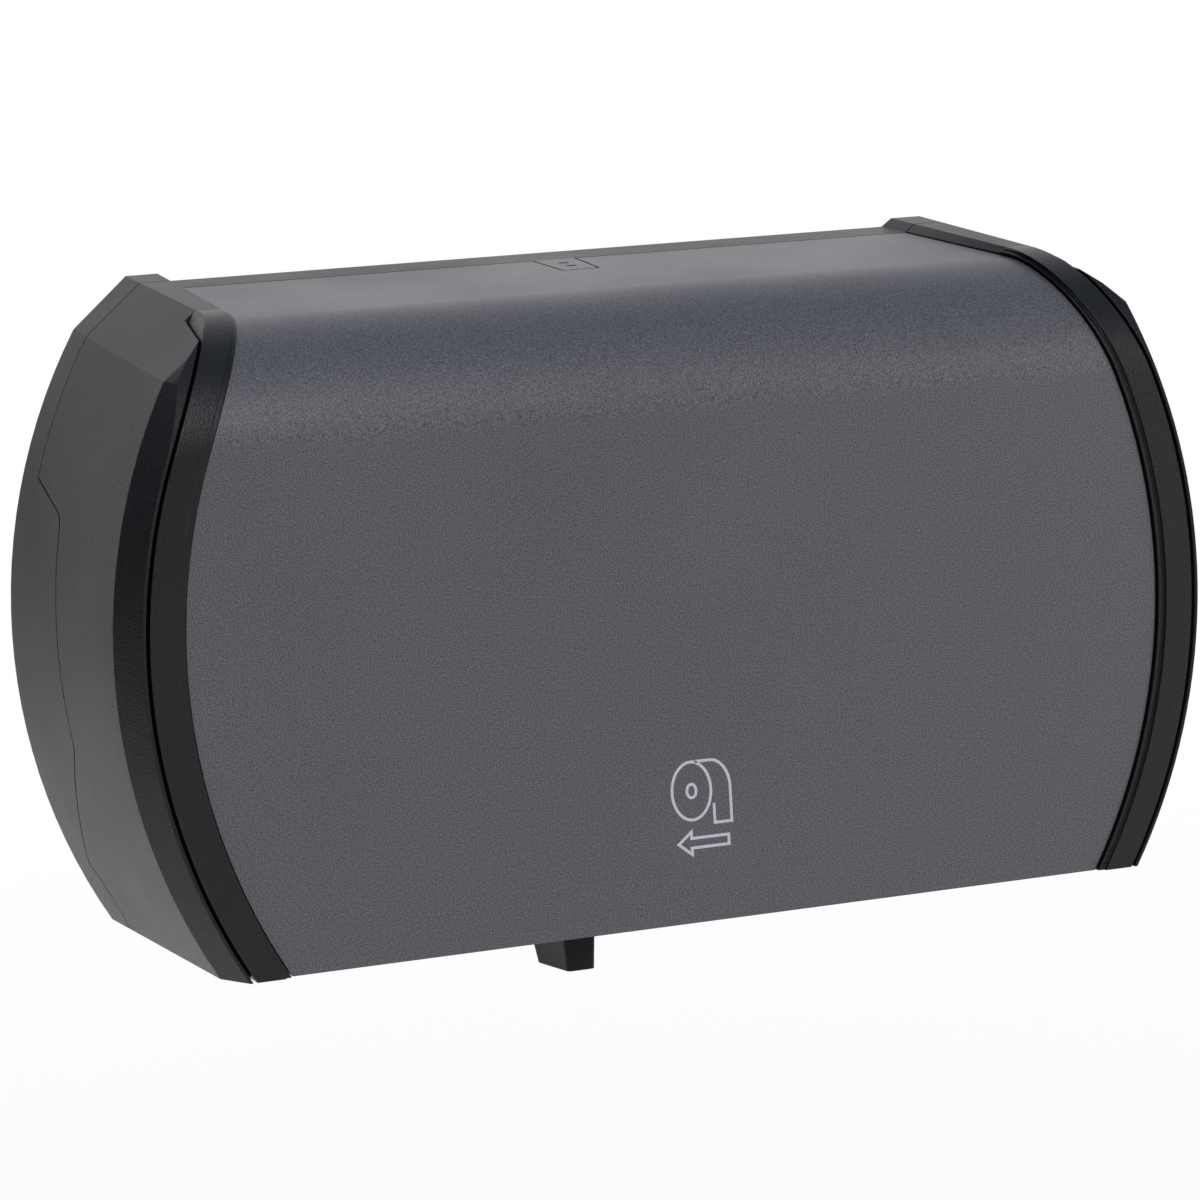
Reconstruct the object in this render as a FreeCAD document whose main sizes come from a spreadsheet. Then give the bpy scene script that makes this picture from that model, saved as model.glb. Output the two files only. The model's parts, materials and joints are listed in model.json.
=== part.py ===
import FreeCAD, Part
import math
import os
import Sketcher
from FreeCAD import Rotation, Vector

# Wall dispenser for two bath tissue rolls side by side.
# X runs along the wall, the wall is the plane Y = 0, the front faces -Y and Z is up.
# The origin is the centre of the four wall screws, on the wall.
# Each body is drawn with heights from the bottom edge, and its placement lowers it to that origin.

doc = FreeCAD.newDocument("bath_tissue_dispenser")
sheet = doc.addObject("Spreadsheet::Sheet", "sizes")

SIZES = {
    # Outer form
    "body_width": 366.0,
    "body_height": 205.0,
    "panel_depth": 120.5,
    "rim_setback": 9.5,
    "end_radius": 184.0,
    "end_centre_height": 93.7,
    "side_draft": 4.6,
    "top_fall": 11.4,
    "corner_drop": 15.5,
    "ridge_height": 2.6,
    "ridge_outer_inset": 45.0,
    "ridge_inner_inset": 55.4,
    "ridge_inner_front_inset": 51.6,
    # Walls, cuts and clearances
    "wall": 2.5,
    "back_wall": 3.0,
    "overrun": 20.0,
    "part_gap": 0.6,
    "seat_gap": 0.2,
    "pin_fit": 0.05,
    "running_fit": 0.08,
    "screw_fit": 0.1,
    # Parting line between tray and cover
    "parting_depth": 17.0,
    "cheek_top_height": 145.0,
    "shoulder_depth": 48.6,
    "shoulder_height": 135.4,
    "toe_depth": 54.3,
    "toe_height": 65.6,
    "cheek_round": 6.5,
    # Wall screws
    "screw_spacing_wide": 200.0,
    "screw_spacing_high": 110.0,
    "screw_hole_radius": 2.75,
    "screw_boss_radius": 7.0,
    "screw_boss_rise": 2.0,
    # Stiffening ribs of the tray
    "rib_thick": 2.0,
    "rib_rise": 4.0,
    "upright_rib_spacing": 43.0,
    "upright_rib_foot": 20.0,
    "upright_rib_gap": 12.0,
    "level_rib_height": 32.0,
    "level_rib_spacing": 110.0,
    "level_rib_inset": 41.0,
    # Cover hinge
    "hinge_depth": 10.0,
    "hinge_height": 10.0,
    "knuckle_radius": 14.0,
    "hinge_pin_radius": 2.5,
    "hinge_head_radius": 4.0,
    "hinge_head_thick": 2.0,
    "lug_inset": 41.5,
    "lug_thick": 4.0,
    "lug_radius": 6.5,
    "ear_thick": 4.0,
    "ear_reach": 40.0,
    "hinge_pin_past": 1.0,
    # Front panel and its lips
    "panel_thick": 2.5,
    "panel_round": 38.0,
    "panel_inset": 23.6,
    "panel_gap": 0.6,
    "crest_inset": 10.4,
    "crest_land": 1.0,
    "groove_gap": 1.2,
    "step_width": 2.0,
    "step_drop": 1.2,
    "lip_root_length": 30.0,
    "lip_root_drop": 40.0,
    "shelf_thick": 3.0,
    "shelf_overlap": 8.0,
    "ledge_width": 7.0,
    "ledge_thick": 2.5,
    "ledge_back": 20.0,
    # Roll posts and hubs
    "spindle_spread": 86.0,
    "spindle_height": 100.0,
    "post_radius": 6.0,
    "post_end_gap": 16.8,
    "post_flange_radius": 20.0,
    "post_flange_thick": 3.5,
    "post_shoulder_radius": 8.0,
    "post_shoulder_rise": 2.5,
    "post_screw_circle": 14.0,
    "hub_radius": 9.0,
    "hub_flange_radius": 24.0,
    "hub_flange_thick": 2.5,
    "hub_end_gap": 0.3,
    "hub_nose": 1.5,
    # Sliding reserve door and its track
    "track_inset": 56.0,
    "track_side": 6.0,
    "track_front_gap": 1.5,
    "track_rise": 7.5,
    "exit_back_depth": 13.0,
    "track_front_rail": 5.0,
    "groove_depth": 3.2,
    "groove_floor": 2.5,
    "door_thick": 2.5,
    "door_play": 0.3,
    "door_left": 43.5,
    "door_end_gap": 1.5,
    "door_rib_thick": 2.0,
    "door_rib_rise": 1.6,
    "door_rib_spacing": 30.0,
    "door_rib_margin": 12.0,
    # Door handle
    "handle_end_gap": 9.0,
    "handle_front_gap": 11.5,
    "handle_length": 28.0,
    "handle_width": 11.6,
    "handle_flare": 3.4,
    "handle_tip_width": 8.6,
    "handle_tip_length": 20.0,
    "handle_drop": 14.5,
    "handle_corner": 1.5,
    # Key latch
    "tongue_past_slots": 8.5,
    "tongue_half_back": 7.5,
    "tongue_half_front": 5.8,
    "tongue_gap": 0.8,
    "tongue_corner": 1.5,
    "key_slot_first": 26.0,
    "key_slot_second": 33.0,
    "key_slot_wide": 3.2,
    "key_slot_deep": 2.4,
    "bracket_reach": 28.0,
    "bracket_foot_drop": 35.0,
    "bracket_wall": 2.5,
    "lever_half": 4.5,
    "lever_play": 0.5,
    "lever_thick": 4.0,
    "lever_foot_drop": 22.0,
    "lever_boss_half": 4.0,
    "pivot_gap": 1.5,
    "latch_pin_radius": 1.5,
    "post_half": 1.5,
    "post_rise": 5.0,
    "hook_back_gap": 0.4,
    "hook_thick": 2.9,
    "hook_rise": 6.4,
    "hook_nose": 1.9,
    "spring_thick": 0.5,
    "spring_half": 3.0,
    "spring_back_gap": 2.5,
    "spring_tip_gap": 4.0,
    # Top rail and catch
    "rail_inset": 63.0,
    "rail_back_gap": 2.5,
    "rail_width": 12.0,
    "rail_thick": 3.0,
    "catch_window_half": 9.0,
    "catch_window_gap": 1.7,
    "catch_front_gap": 1.0,
    "catch_thick": 3.2,
    "bar_gap": 1.1,
    "bar_thick": 2.4,
    "catch_screw_offset": 11.5,
    # Screws
    "small_shank_radius": 1.2,
    "small_head_radius": 2.2,
    "small_head_thick": 1.6,
    "large_shank_radius": 1.6,
    "large_head_radius": 2.8,
    "large_head_thick": 1.7,
    "washer_head_radius": 8.2,
    "washer_head_thick": 2.4,
    "hub_screw_length": 12.0,
    "screw_skin": 0.8,
    "track_screw_inset": 17.0,
    "screw_edge": 1.0,
    "bracket_ear_height": 12.0,
    "handle_screw_spacing": 12.0,
    "handle_screw_length": 9.0,
    "bezel_screw_height": 24.0,
    "bezel_screw_spacing": 58.0,
}

# Where the cheek's slope meets the hinge knuckle, as depth shares of the knuckle's radius
TRAY_FOOT_SHARE = 0.545
COVER_FOOT_SHARE = 0.583
# Cross recess of a screw, as shares of its head's radius and thickness
RECESS_REACH_SHARE = 0.5
RECESS_ARM_SHARE = 0.13
RECESS_DEPTH_SHARE = 0.5

for row, (alias, value) in enumerate(SIZES.items(), start=1):
    sheet.set(f"A{row}", alias)
    sheet.set(f"B{row}", str(value))
    sheet.setAlias(f"B{row}", alias)
doc.recompute()


class Size:
    """A length together with the expression that ties it to the sheet."""

    def __init__(self, value, text):
        self.value = value
        self.text = text

    def __add__(self, other):
        other = as_size(other)
        return Size(self.value + other.value, f"({self.text} + {other.text})")

    def __sub__(self, other):
        other = as_size(other)
        return Size(self.value - other.value, f"({self.text} - {other.text})")

    def __mul__(self, other):
        other = as_size(other)
        return Size(self.value * other.value, f"({self.text} * {other.text})")

    def __truediv__(self, other):
        other = as_size(other)
        return Size(self.value / other.value, f"({self.text} / {other.text})")

    def __neg__(self):
        return Size(-self.value, f"(0 - {self.text})")


def as_size(item):
    if isinstance(item, Size):
        return item
    return Size(float(item), repr(float(item)))


def root(item):
    return Size(math.sqrt(item.value), f"sqrt({item.text})")


class Dims:
    """Gives each cell of the sheet, and each size that follows from the cells, as a Size."""

    def __getattr__(self, alias):
        if alias in FOLLOWING:
            return FOLLOWING[alias]()
        return Size(float(sheet.get(alias)), f"sizes.{alias}")


FOLLOWING = {
    # Widths from the middle
    "half_width": lambda: dims.body_width / 2,
    "ridge_outer": lambda: dims.half_width - dims.ridge_outer_inset,
    "ridge_inner": lambda: dims.half_width - dims.ridge_inner_inset,
    "ridge_inner_front": lambda: dims.half_width - dims.ridge_inner_front_inset,
    "level_rib_half": lambda: dims.half_width - dims.level_rib_inset,
    "lug_inner": lambda: dims.half_width - dims.lug_inset,
    "rail_half": lambda: dims.half_width - dims.rail_inset,
    "track_half": lambda: dims.half_width - dims.track_inset,
    "door_right": lambda: dims.track_half - dims.track_side - dims.door_end_gap,
    "handle_centre": lambda: dims.door_left - dims.handle_end_gap,
    "track_screw_spacing": lambda: dims.track_half - dims.track_screw_inset,
    "catch_half": lambda: dims.catch_screw_offset + dims.small_head_radius + dims.screw_edge,
    # Insets from the round end
    "groove_inset": lambda: dims.crest_inset + dims.crest_land,
    "lip_inset": lambda: dims.groove_inset + dims.groove_gap,
    "shelf_inset": lambda: dims.groove_inset + dims.shelf_overlap,
    "step_inset": lambda: dims.panel_inset - dims.step_width,
    # Depths from the wall
    "shell_depth": lambda: dims.panel_depth - dims.rim_setback,
    "crest_depth": lambda: dims.panel_depth + dims.ridge_height,
    "crest_round": lambda: dims.panel_round + dims.ridge_height,
    "panel_inside": lambda: dims.panel_depth - dims.panel_thick,
    "lip_start_depth": lambda: dims.shell_depth - dims.lip_root_length,
    "lip_back_depth": lambda: dims.panel_inside - dims.ledge_thick,
    "shelf_front_depth": lambda: dims.lip_back_depth - dims.seat_gap,
    "shelf_back_depth": lambda: dims.shelf_front_depth - dims.shelf_thick,
    "flange_back": lambda: dims.hinge_depth + dims.knuckle_radius,
    "post_reach": lambda: dims.panel_inside - dims.post_end_gap,
    "track_front_depth": lambda: dims.panel_inside - dims.track_front_gap,
    "exit_front_depth": lambda: dims.track_front_depth - dims.track_front_rail,
    "handle_front_depth": lambda: dims.exit_front_depth - dims.handle_front_gap,
    "web_depth": lambda: dims.back_wall + dims.bracket_wall,
    "pivot_depth": lambda: dims.web_depth + dims.pivot_gap + dims.lever_boss_half,
    "tongue_depth": lambda: dims.key_slot_second + dims.tongue_past_slots,
    "bar_back_depth": lambda: dims.key_slot_second + dims.post_half + dims.bar_gap,
    "bar_front_depth": lambda: dims.bar_back_depth + dims.bar_thick,
    "hook_back_depth": lambda: dims.bar_front_depth + dims.hook_back_gap,
    "hook_front_depth": lambda: dims.hook_back_depth + dims.hook_thick,
    "catch_window_front": lambda: dims.hook_front_depth + dims.catch_window_gap,
    "rail_back_depth": lambda: dims.tongue_depth + dims.rail_back_gap,
    "rail_front_depth": lambda: dims.rail_back_depth + dims.rail_width,
    "catch_front_depth": lambda: dims.rail_front_depth - dims.catch_front_gap,
    "catch_screw_depth": lambda: (dims.catch_window_front + dims.catch_front_depth) / 2,
    # Heights from the bottom edge
    "screw_height": lambda: dims.body_height / 2,
    "lip_root_height": lambda: dims.body_height - dims.lip_root_drop,
    "bracket_foot_height": lambda: dims.body_height - dims.bracket_foot_drop,
    "lever_foot_height": lambda: dims.body_height - dims.lever_foot_drop,
    "upright_rib_top": lambda: dims.bracket_foot_height - dims.upright_rib_gap,
}
dims = Dims()
ZERO = as_size(0)


class Corner:
    """A point of an outline, rounded when it has a radius."""

    def __init__(self, u, v, radius=None):
        self.u = as_size(u)
        self.v = as_size(v)
        self.radius = radius
        self.place = Vector(self.u.value, self.v.value, 0)


class Bend:
    """An arc between two corners, turning left along the outline or, with left=False, right."""

    def __init__(self, radius, left=True):
        self.radius = radius
        self.left = left


def constrain(sketch, kind, *where, size):
    index = sketch.addConstraint(Sketcher.Constraint(kind, *where, size.value))
    sketch.setExpression(f"Constraints[{index}]", size.text)


def add_arc(sketch, centre, radius, start, end, left):
    first, last = (start, end) if left else (end, start)
    angles = [math.atan2(point.y - centre.y, point.x - centre.x) for point in (first, last)]
    circle = Part.Circle(centre, Vector(0, 0, 1), radius)
    ident = sketch.addGeometry(Part.ArcOfCircle(circle, angles[0], angles[1]))
    return (ident, 1, 2) if left else (ident, 2, 1)


def bend_centre(start, end, radius, left):
    chord = end - start
    middle = (start + end) * 0.5
    rise = math.sqrt(radius ** 2 - (chord.Length / 2) ** 2)
    side = Vector(-chord.y, chord.x, 0) / chord.Length
    return middle + side * (rise if left else -rise)


def rounding(before, corner, after):
    """Where a rounded corner starts and ends, its centre and whether it turns left."""
    to_before = (before.place - corner.place).normalize()
    to_after = (after.place - corner.place).normalize()
    half_angle = to_before.getAngle(to_after) / 2
    radius = corner.radius.value
    reach = radius / math.tan(half_angle)
    middle = (to_before + to_after).normalize()
    centre = corner.place + middle * (radius / math.sin(half_angle))
    left = to_after.cross(to_before).z > 0
    return corner.place + to_before * reach, corner.place + to_after * reach, centre, left


def outline(sketch, items):
    """Draws a closed outline of corners and bends, with every corner tied to the sheet."""
    corners = [item for item in items if isinstance(item, Corner)]
    bends = {}
    for item in items:
        if isinstance(item, Corner):
            last = item
        else:
            bends[last] = item
    count = len(corners)
    turns = {}
    for index, corner in enumerate(corners):
        if corner.radius is not None:
            turns[corner] = rounding(corners[index - 1], corner, corners[(index + 1) % count])
    edges = []
    for index, corner in enumerate(corners):
        following = corners[(index + 1) % count]
        start = turns[corner][1] if corner in turns else corner.place
        end = turns[following][0] if following in turns else following.place
        if corner in bends:
            bend = bends[corner]
            centre = bend_centre(start, end, bend.radius.value, bend.left)
            edge = add_arc(sketch, centre, bend.radius.value, start, end, bend.left)
        else:
            edge = (sketch.addGeometry(Part.LineSegment(start, end)), 1, 2)
        edges.append(edge)
    for index, corner in enumerate(corners):
        before = edges[index - 1]
        after = edges[index]
        if corner in turns:
            start, end, centre, left = turns[corner]
            arc = add_arc(sketch, centre, corner.radius.value, start, end, left)
            mark = sketch.addGeometry(Part.Point(corner.place), True)
            sketch.addConstraint(Sketcher.Constraint("Tangent", before[0], before[2], arc[0], arc[1]))
            sketch.addConstraint(Sketcher.Constraint("Tangent", arc[0], arc[2], after[0], after[1]))
            sketch.addConstraint(Sketcher.Constraint("PointOnObject", mark, 1, before[0]))
            sketch.addConstraint(Sketcher.Constraint("PointOnObject", mark, 1, after[0]))
            constrain(sketch, "Radius", arc[0], size=corner.radius)
            pin = (mark, 1)
        else:
            sketch.addConstraint(Sketcher.Constraint("Coincident", before[0], before[2], after[0], after[1]))
            pin = (after[0], after[1])
        constrain(sketch, "DistanceX", *pin, size=corner.u)
        constrain(sketch, "DistanceY", *pin, size=corner.v)
        if corner in bends:
            constrain(sketch, "Radius", after[0], size=bends[corner].radius)


def circle(sketch, u, v, radius):
    u = as_size(u)
    v = as_size(v)
    ident = sketch.addGeometry(Part.Circle(Vector(u.value, v.value, 0), Vector(0, 0, 1), radius.value))
    constrain(sketch, "DistanceX", ident, 3, size=u)
    constrain(sketch, "DistanceY", ident, 3, size=v)
    constrain(sketch, "Radius", ident, size=radius)


def rectangle(sketch, left, bottom, right, top):
    outline(sketch, [Corner(left, bottom), Corner(right, bottom), Corner(right, top), Corner(left, top)])


def place(item, x=ZERO, y=ZERO, height=ZERO, rotation=None):
    """Sets a placement from the wall, with the height taken from the bottom edge."""
    if rotation is not None:
        item.Placement.Rotation = rotation
    for axis, size in (("x", x), ("y", y), ("z", height - dims.screw_height)):
        item.setExpression(f".Placement.Base.{axis}", size.text)


def new_body(label, **where):
    body = doc.addObject("PartDesign::Body", label)
    place(body, **where)
    return body


def sketch_on(body, role, offset):
    plane = next(item for item in body.Origin.OriginFeatures if item.Role == role)
    sketch = body.newObject("Sketcher::SketchObject", f"{body.Name}_outline")
    sketch.AttachmentSupport = [(plane, "")]
    sketch.MapMode = "FlatFace"
    sketch.setExpression(".AttachmentOffset.Base.z", as_size(offset).text)
    return sketch


def front_sketch(body, depth):
    """A sketch parallel to the wall, this far in front of it; features grow towards the front."""
    return sketch_on(body, "XZ_Plane", depth)


def side_sketch(body, offset=ZERO):
    """A sketch seen from the side, with Y across, so depths are negative."""
    return sketch_on(body, "YZ_Plane", offset)


def plan_sketch(body, height):
    return sketch_on(body, "XY_Plane", height)


def extrude(body, kind, sketch, length, both_ways=False, reverse=False):
    doc.recompute()
    feature = body.newObject(f"PartDesign::{kind}", f"{body.Name}_{kind.lower()}")
    feature.Profile = sketch
    feature.setExpression("Length", length.text)
    if both_ways:
        feature.SideType = "Symmetric"
    feature.Reversed = reverse
    doc.recompute()
    return feature


def pad(body, sketch, length, **options):
    return extrude(body, "Pad", sketch, length, **options)


def pocket(body, sketch, length, **options):
    """Cuts along the sketch's own normal, and against it with reverse=True."""
    before = body.Shape.Volume
    options["reverse"] = not options.get("reverse", False)
    feature = extrude(body, "Pocket", sketch, length, **options)
    if not body.Shape.Volume < before:
        raise RuntimeError(f"a pocket of {body.Label} cuts nothing")
    return feature


def loft(body, first, second, kind="AdditiveLoft"):
    doc.recompute()
    feature = body.newObject(f"PartDesign::{kind}", f"{body.Name}_loft")
    feature.Profile = first
    feature.Sections = [second]
    feature.Ruled = True
    doc.recompute()
    return feature


def revolve(body, sketch, axis="Y_Axis"):
    doc.recompute()
    feature = body.newObject("PartDesign::Revolution", f"{body.Name}_turned")
    feature.Profile = sketch
    line = next(item for item in body.Origin.OriginFeatures if item.Role == axis)
    feature.ReferenceAxis = (line, [""])
    feature.Angle = 360
    doc.recompute()
    return feature


def repeat(body, feature, axis, spacing, copies):
    pattern = body.newObject("PartDesign::LinearPattern", f"{body.Name}_row")
    pattern.Originals = [feature]
    line = next(item for item in body.Origin.OriginFeatures if item.Role == axis)
    pattern.Direction = (line, [""])
    pattern.Occurrences = copies
    pattern.setExpression("Length", (spacing * (copies - 1)).text)
    body.Tip = pattern
    doc.recompute()
    return pattern


def around(body, feature, copies, axis="Y_Axis"):
    pattern = body.newObject("PartDesign::PolarPattern", f"{body.Name}_ring")
    pattern.Originals = [feature]
    line = next(item for item in body.Origin.OriginFeatures if item.Role == axis)
    pattern.Axis = (line, [""])
    pattern.Angle = 360
    pattern.Occurrences = copies
    body.Tip = pattern
    doc.recompute()
    return pattern


def mirrored(source, label):
    """The left-hand twin of a right-hand piece."""
    twin = doc.addObject("Part::Mirroring", label)
    twin.Source = source
    twin.Base = Vector(0, 0, 0)
    twin.Normal = Vector(1, 0, 0)
    return twin


def cut(label, base, tool):
    result = doc.addObject("Part::Cut", label)
    result.Base = base
    result.Tool = tool
    return result


def overlap(label, shapes):
    """What two shapes have in common."""
    result = doc.addObject("Part::MultiCommon", label)
    result.Shapes = shapes
    return result


def joined(label, shapes):
    result = doc.addObject("Part::MultiFuse", label)
    result.Shapes = shapes
    result.Refine = True
    return result


def group(label, items):
    result = doc.addObject("Part::Compound", label)
    result.Links = items
    return result


# The forms that several pieces share

def panel_top(depth):
    """Height of the sloping top between the ridges, this far from the wall."""
    return dims.body_height - dims.ridge_height - dims.top_fall * depth / dims.panel_depth


def ridge_top(depth):
    return dims.body_height - dims.top_fall * depth / dims.panel_depth


def end_curve(height, inset, thinner=ZERO):
    """Half width of the round end at this height, moved in by the inset."""
    radius = dims.end_radius - thinner
    rise = height - dims.end_centre_height
    return dims.body_width / 2 - dims.end_radius + root(radius * radius - rise * rise) - inset


def panel_edge(height):
    return end_curve(height, dims.panel_inset)


def draft_at(depth):
    return dims.side_draft * depth / dims.shell_depth


def ridge_inner_at(depth):
    return dims.ridge_inner + (dims.ridge_inner_front - dims.ridge_inner) * depth / dims.shell_depth


def rim_inset(depth):
    """Inset of the slanted rim between the side's front edge and the crest."""
    rise = (depth - dims.shell_depth) / (dims.crest_depth - dims.shell_depth)
    return dims.side_draft + (dims.crest_inset - dims.side_draft) * rise


def outer_end(depth, inset):
    """Right-hand run of the outer form from the bottom corner up to the foot of the ridge."""
    facet = ridge_top(depth) - dims.corner_drop
    return [
        Corner(end_curve(ZERO, inset), ZERO),
        Bend(dims.end_radius),
        Corner(end_curve(facet, inset), facet),
        Corner(dims.ridge_outer, ridge_top(depth)),
        Corner(ridge_inner_at(depth), ridge_top(depth)),
        Corner(panel_edge(panel_top(depth)), panel_top(depth)),
    ]


def inner_end(depth, inset):
    """The same run one wall further in, without the ridge."""
    facet = ridge_top(depth) - dims.corner_drop - dims.wall / 2
    return [
        Corner(end_curve(dims.wall, inset, dims.wall), dims.wall),
        Bend(dims.end_radius - dims.wall),
        Corner(end_curve(facet, inset, dims.wall), facet),
        Corner(dims.ridge_outer, panel_top(depth) - dims.wall),
    ]


def both_ends(run):
    """Joins a right-hand run with its mirror image into a closed outline."""
    left = []
    for item in reversed(run):
        left.append(item if isinstance(item, Bend) else Corner(-item.u, item.v))
    return run + left


def slope():
    return dims.top_fall / dims.panel_depth


def slope_length():
    return root(slope() * slope() + 1)


def roll_over(front, top, radius):
    """Where the sloping top rolls over into the front: both ends of the arc, as depths and heights."""
    reach = radius * (slope_length() - slope())
    corner = top - slope() * front
    on_top = (front - reach / slope_length(), corner + reach * slope() / slope_length())
    on_front = (front, corner - reach)
    return on_top, on_front


def outside_roll(sketch, front, top, radius, back):
    """Everything above the sloping top and in front of the rolled corner."""
    on_top, on_front = roll_over(front, top, radius)
    far = front + dims.overrun
    high = top + dims.overrun
    outline(sketch, [
        Corner(-back, top - slope() * back),
        Corner(-on_top[0], on_top[1]),
        Bend(radius),
        Corner(-on_front[0], on_front[1]),
        Corner(-far, on_front[1]),
        Corner(-far, high),
        Corner(-back, high),
    ])


def cover_band(sketch, back, outer, thick, foot):
    """A strip that follows the panel's section, lying this far under its outer face."""
    front = dims.panel_depth
    top = dims.body_height - dims.ridge_height
    on_top, on_front = roll_over(front, top, dims.panel_round)

    def under(depth_inside):
        normal_depth = slope() / slope_length()
        normal_height = as_size(1) / slope_length()
        back_height = top - slope() * back - depth_inside * slope_length()
        return [
            Corner(-back, back_height),
            Corner(-(on_top[0] - depth_inside * normal_depth), on_top[1] - depth_inside * normal_height),
            Bend(dims.panel_round - depth_inside),
            Corner(-(front - depth_inside), on_front[1]),
            Corner(-(front - depth_inside), foot),
        ]

    inner = under(outer + thick)
    return_run = [inner[4], inner[3], Bend(inner[2].radius, left=False), inner[1], inner[0]]
    outline(sketch, under(outer) + return_run)


def parting(gap, foot_share):
    """The parting line on the end walls, from the top down, moved forward by the gap."""
    knuckle = dims.knuckle_radius + gap
    foot_height_share = math.sqrt(1 - foot_share ** 2)
    return [
        Corner(-(dims.parting_depth + gap), dims.cheek_top_height + gap),
        Corner(-(dims.shoulder_depth + gap), dims.shoulder_height + gap, dims.cheek_round),
        Corner(-(dims.toe_depth + gap), dims.toe_height - gap, dims.cheek_round),
        Corner(
            -(dims.hinge_depth + knuckle * foot_share),
            dims.hinge_height + knuckle * foot_height_share,
        ),
        Bend(knuckle),
        Corner(-(dims.hinge_depth + root(knuckle * knuckle - dims.hinge_height * dims.hinge_height)), ZERO),
    ]


def beyond_parting(sketch, far):
    """All that lies in front of the tray's edge, out to a plane at this depth."""
    high = dims.body_height + dims.overrun
    run = parting(ZERO, TRAY_FOOT_SHARE)
    outline(sketch, [
        Corner(-dims.parting_depth, high),
        *run,
        Corner(run[-1].u, -dims.overrun),
        Corner(-far, -dims.overrun),
        Corner(-far, high),
    ])


def turned(body, points):
    """A turned piece on the body's own Y axis, from radii and distances in front of the body's origin."""
    sketch = plan_sketch(body, ZERO)
    outline(sketch, [Corner(radius, -reach) for radius, reach in points])
    return revolve(body, sketch)


def screw(label, shank, head, head_thick, length, rotation, **where):
    """A pan-head screw: its seat is at the placement and its head points along the body's -Y."""
    body = new_body(label, rotation=rotation, **where)
    sketch = plan_sketch(body, ZERO)
    outline(sketch, [
        Corner(ZERO, length),
        Corner(shank, length),
        Corner(shank, ZERO),
        Corner(head, ZERO),
        Corner(head, -head_thick / 2),
        Corner(head - head_thick / 2, -head_thick),
        Corner(ZERO, -head_thick),
    ])
    revolve(body, sketch)
    reach = head * RECESS_REACH_SHARE
    arm = head * RECESS_ARM_SHARE
    quarter = [(reach, -arm), (reach, arm), (arm, arm)]
    turns = [(1, 0), (0, 1), (-1, 0), (0, -1)]
    recess = front_sketch(body, head_thick)
    outline(recess, [
        Corner(u * cosine - v * sine, u * sine + v * cosine) for cosine, sine in turns for u, v in quarter
    ])
    pocket(body, recess, head_thick * RECESS_DEPTH_SHARE, reverse=True)
    return body


HEAD_TO_FRONT = Rotation(Vector(0, 0, 1), 0)
HEAD_UP = Rotation(Vector(1, 0, 0), -90)
HEAD_DOWN = Rotation(Vector(1, 0, 0), 90)
HEAD_TO_WALL = Rotation(Vector(0, 0, 1), 180)
nodes = {}


def keep(label, item):
    item.Label = label
    nodes[label] = item
    return item


# Tray that hangs on the wall

def make_back_housing():
    body = new_body("back_housing")
    far = dims.toe_depth + dims.overrun
    first = front_sketch(body, ZERO)
    outline(first, both_ends(outer_end(ZERO, draft_at(ZERO))))
    second = front_sketch(body, far)
    outline(second, both_ends(outer_end(far, draft_at(far))))
    loft(body, first, second)
    first = front_sketch(body, dims.back_wall)
    outline(first, both_ends(inner_end(dims.back_wall, draft_at(dims.back_wall))))
    second = front_sketch(body, far)
    outline(second, both_ends(inner_end(far, draft_at(far))))
    loft(body, first, second, "SubtractiveLoft")
    parting_sketch = side_sketch(body)
    beyond_parting(parting_sketch, far + dims.overrun)
    pocket(body, parting_sketch, dims.body_width + dims.overrun, both_ways=True)
    # Between the knuckles the bottom wall stops at the parting depth
    trim = plan_sketch(body, ZERO)
    inside = end_curve(dims.wall, draft_at(dims.parting_depth), dims.wall)
    rectangle(trim, -inside, -dims.shell_depth, inside, -dims.parting_depth)
    pocket(body, trim, dims.wall * 3, both_ways=True)
    add_tray_ribs(body)
    add_screw_holes(body)
    for side in (1, -1):
        add_hinge_lug(body, side)
    return keep("back_housing", body)


def add_tray_ribs(body):
    upright = front_sketch(body, dims.back_wall)
    middle = dims.upright_rib_spacing
    rectangle(
        upright, -middle - dims.rib_thick / 2, dims.upright_rib_foot,
        -middle + dims.rib_thick / 2, dims.upright_rib_top,
    )
    repeat(body, pad(body, upright, dims.rib_rise), "X_Axis", dims.upright_rib_spacing, 3)
    level = front_sketch(body, dims.back_wall)
    half = dims.level_rib_half
    rectangle(level, -half, dims.level_rib_height, half, dims.level_rib_height + dims.rib_thick)
    repeat(body, pad(body, level, dims.rib_rise), "Z_Axis", dims.level_rib_spacing, 2)


def add_screw_holes(body):
    half_wide = dims.screw_spacing_wide / 2
    half_high = dims.screw_spacing_high / 2
    places = [(x, dims.screw_height + z) for x in (half_wide, -half_wide) for z in (half_high, -half_high)]
    bosses = front_sketch(body, dims.back_wall)
    holes = front_sketch(body, ZERO)
    for x, height in places:
        circle(bosses, x, height, dims.screw_boss_radius)
        circle(holes, x, height, dims.screw_hole_radius)
    pad(body, bosses, dims.screw_boss_rise)
    pocket(body, holes, dims.back_wall + dims.screw_boss_rise)
    pilots = front_sketch(body, ZERO)
    for x, height in post_screw_places():
        circle(pilots, x, height, dims.large_shank_radius + dims.screw_fit)
    for x in (bracket_screw_offset(), -bracket_screw_offset()):
        circle(pilots, x, bracket_screw_height(), dims.small_shank_radius + dims.screw_fit)
    pocket(body, pilots, dims.back_wall)
    track_pilots = plan_sketch(body, ZERO)
    for x in track_screw_places():
        circle(track_pilots, x, -track_screw_depth(), dims.large_shank_radius + dims.screw_fit)
    pocket(body, track_pilots, dims.wall)


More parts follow.
